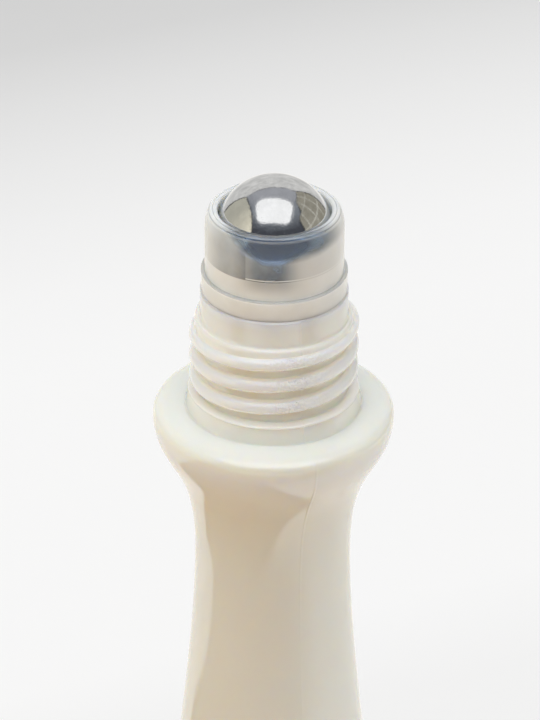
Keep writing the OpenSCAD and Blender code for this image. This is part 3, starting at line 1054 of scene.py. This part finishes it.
def housing_section():
    """The housing's closed section, from the feed hole round the outside and back."""
    floor_z, top = FEED_Z - FLOOR_T, RIM_Z + FLANGE_H
    ledge_r = math.sqrt(CUP_R**2 - (BALL_Z - CUP_LEDGE_Z) ** 2)
    bowl_end = math.degrees(math.asin((FEED_Z - BALL_Z) / CUP_R))
    bowl_start = -math.degrees(math.asin((BALL_Z - CUP_LEDGE_Z) / CUP_R))
    cup_top = math.degrees(math.acos(LIP_R / CUP_R))
    return np.vstack([
        [[FEED_R, FEED_Z], [FEED_R, floor_z], [PLUG_BORE_R, floor_z], [PLUG_BORE_R, PLUG_Z]],
        [[PLUG_R - PLUG_CHAMFER, PLUG_Z]],
        *[np.add(PLUG_BEAD, (PLUG_R, z)) for z in PLUG_Z + PLUG_STEP * np.arange(PLUG_BEADS)],
        [[PLUG_R, RIM_Z], [FLANGE_R - FLANGE_DRAFT, RIM_Z]],
        arc((FLANGE_R - FLANGE_EDGE, top - FLANGE_EDGE), FLANGE_EDGE, 0, 90, 6),
        [[HOUSING_R + WALL_FILLET, top], [HOUSING_R, top + WALL_FILLET]],
        lip_curve(),
        [[LIP_EDGE_R - GROOVE_HALF, LIP_Z - GROOVE_DEPTH], [LIP_EDGE_R - 2 * GROOVE_HALF, LIP_Z]],
        [[LIP_TOP_R, LIP_Z], [LIP_R, LIP_Z - LIP_BEVEL]],
        arc((0, BALL_Z), CUP_R, cup_top, 0, 16),
        [[CUP_R, CUP_LEDGE_Z], [ledge_r, CUP_LEDGE_Z]],
        arc((0, BALL_Z), CUP_R, bowl_start, bowl_end, 16)[1:],
    ])


print("section points of the housing:", len(housing_section()))

# %% [markdown]
# Long straight stretches of the section get points in between, so that no face is much longer
# than it is wide. The section is a loop off the axis, so its last row joins its first.

# %% Housing
HOUSING_COLUMNS, HOUSING_GAP = 256, 0.4


def spaced(section, gap):
    """The section's points again, none further than gap from the next along straight runs."""
    way = np.diff(section, axis=0)
    count = np.maximum(1, np.ceil(np.linalg.norm(way, axis=1) / gap)).astype(int)
    run = np.repeat(np.arange(len(count)), count)
    share = (np.arange(len(run)) - np.repeat(np.cumsum(count) - count, count)) / count[run]
    return np.vstack([section[run] + way[run] * share[:, None], section[-1:]])


def turned_loop(section, columns):
    """Corners and faces of a section that is a closed loop off the axis, carried round it."""
    angle = np.linspace(0, 2 * np.pi, columns, endpoint=False)
    r, z = section[:, :1], section[:, 1:]
    corners = np.stack([r * np.cos(angle), r * np.sin(angle), z + 0 * angle], 2).reshape(-1, 3)
    return corners, grid_faces(0, len(section), columns)


loop = spaced(np.vstack([housing_section(), housing_section()[:1]]), HOUSING_GAP)
housing_mesh = welded_mesh("housing_shell", *turned_loop(loop, HOUSING_COLUMNS), sharp=35)
show_piece("housing_shell", housing_mesh, milky_plastic, "bottle",
           "roller_housing")

# %% [markdown]
# ## The ball
#
# A polished steel ball. Facets would show in its reflections, so it is six square patches
# pushed out to the sphere, each fine and even, instead of a globe with pinched poles. Fine
# scratches in all directions and a few dull pits break the reflections up where light meets
# dark. They are noise in the ball's own coordinates, so they turn with it as it rolls.

# %% Steel finish
STEEL_DARK, STEEL_PALE = (0.65, 0.655, 0.66), (0.72, 0.725, 0.73)
SCRATCH_DEPTH, HAZE_RELIEF = 0.000004, 0.5
STEEL_ROUGH, HAZE_ROUGH, PIT_ROUGH = 0.02, 0.03, 0.18
PIT_EDGE = (0.55, 0.70)

steel_mirror, nodes = finish_nodes("steel_mirror")
place = nodes.place()
haze = nodes.noise(place, scale=900.0, detail=4.0)
scratch = nodes.noise(place, scale=7000.0, detail=3.0)
pits = nodes.noise(place, scale=6000.0, detail=2.0).step(*PIT_EDGE)
nodes.close(nodes.add("BsdfPrincipled", {}, {
    "Base Color": nodes.blend(haze.step(*SOFT_PATCH), STEEL_DARK, STEEL_PALE), "Metallic": 1.0,
    "Roughness": haze * HAZE_ROUGH + pits * PIT_ROUGH + STEEL_ROUGH,
    "Normal": nodes.bump(SCRATCH_DEPTH, scratch + haze * HAZE_RELIEF),
}))

# %% Ball
def ball_patches(centre, ball_r, count=56):
    """Sphere from a cube: a point (1, tan u, tan v) of each face, with u and v even from -45 to
    45 degrees, is scaled to the ball's radius."""
    t = np.tan(np.linspace(-np.pi / 4, np.pi / 4, count + 1))
    u, v = (g.reshape(-1) for g in np.meshgrid(t, t, indexing="ij"))
    one = np.ones_like(u)
    i, j = np.arange(count)[:, None] * (count + 1), np.arange(count)[None, :]
    patch = np.stack([i + j, i + count + 1 + j, i + count + 2 + j, i + 1 + j], 2).reshape(-1, 4)
    points = np.vstack([np.roll(np.stack([side * one, u, v * side], 1), axis, 1)
                        for axis in range(3) for side in (1, -1)])
    faces = np.vstack([patch + n * len(u) for n in range(6)])
    return points / np.linalg.norm(points, axis=1)[:, None] * ball_r + centre, faces.tolist()


ball_mesh = welded_mesh("ball_shell", *ball_patches((0, 0, BALL_Z), BALL_R), sharp=180)
show_piece("ball_shell", ball_mesh, steel_mirror, "ball", "roller_ball")
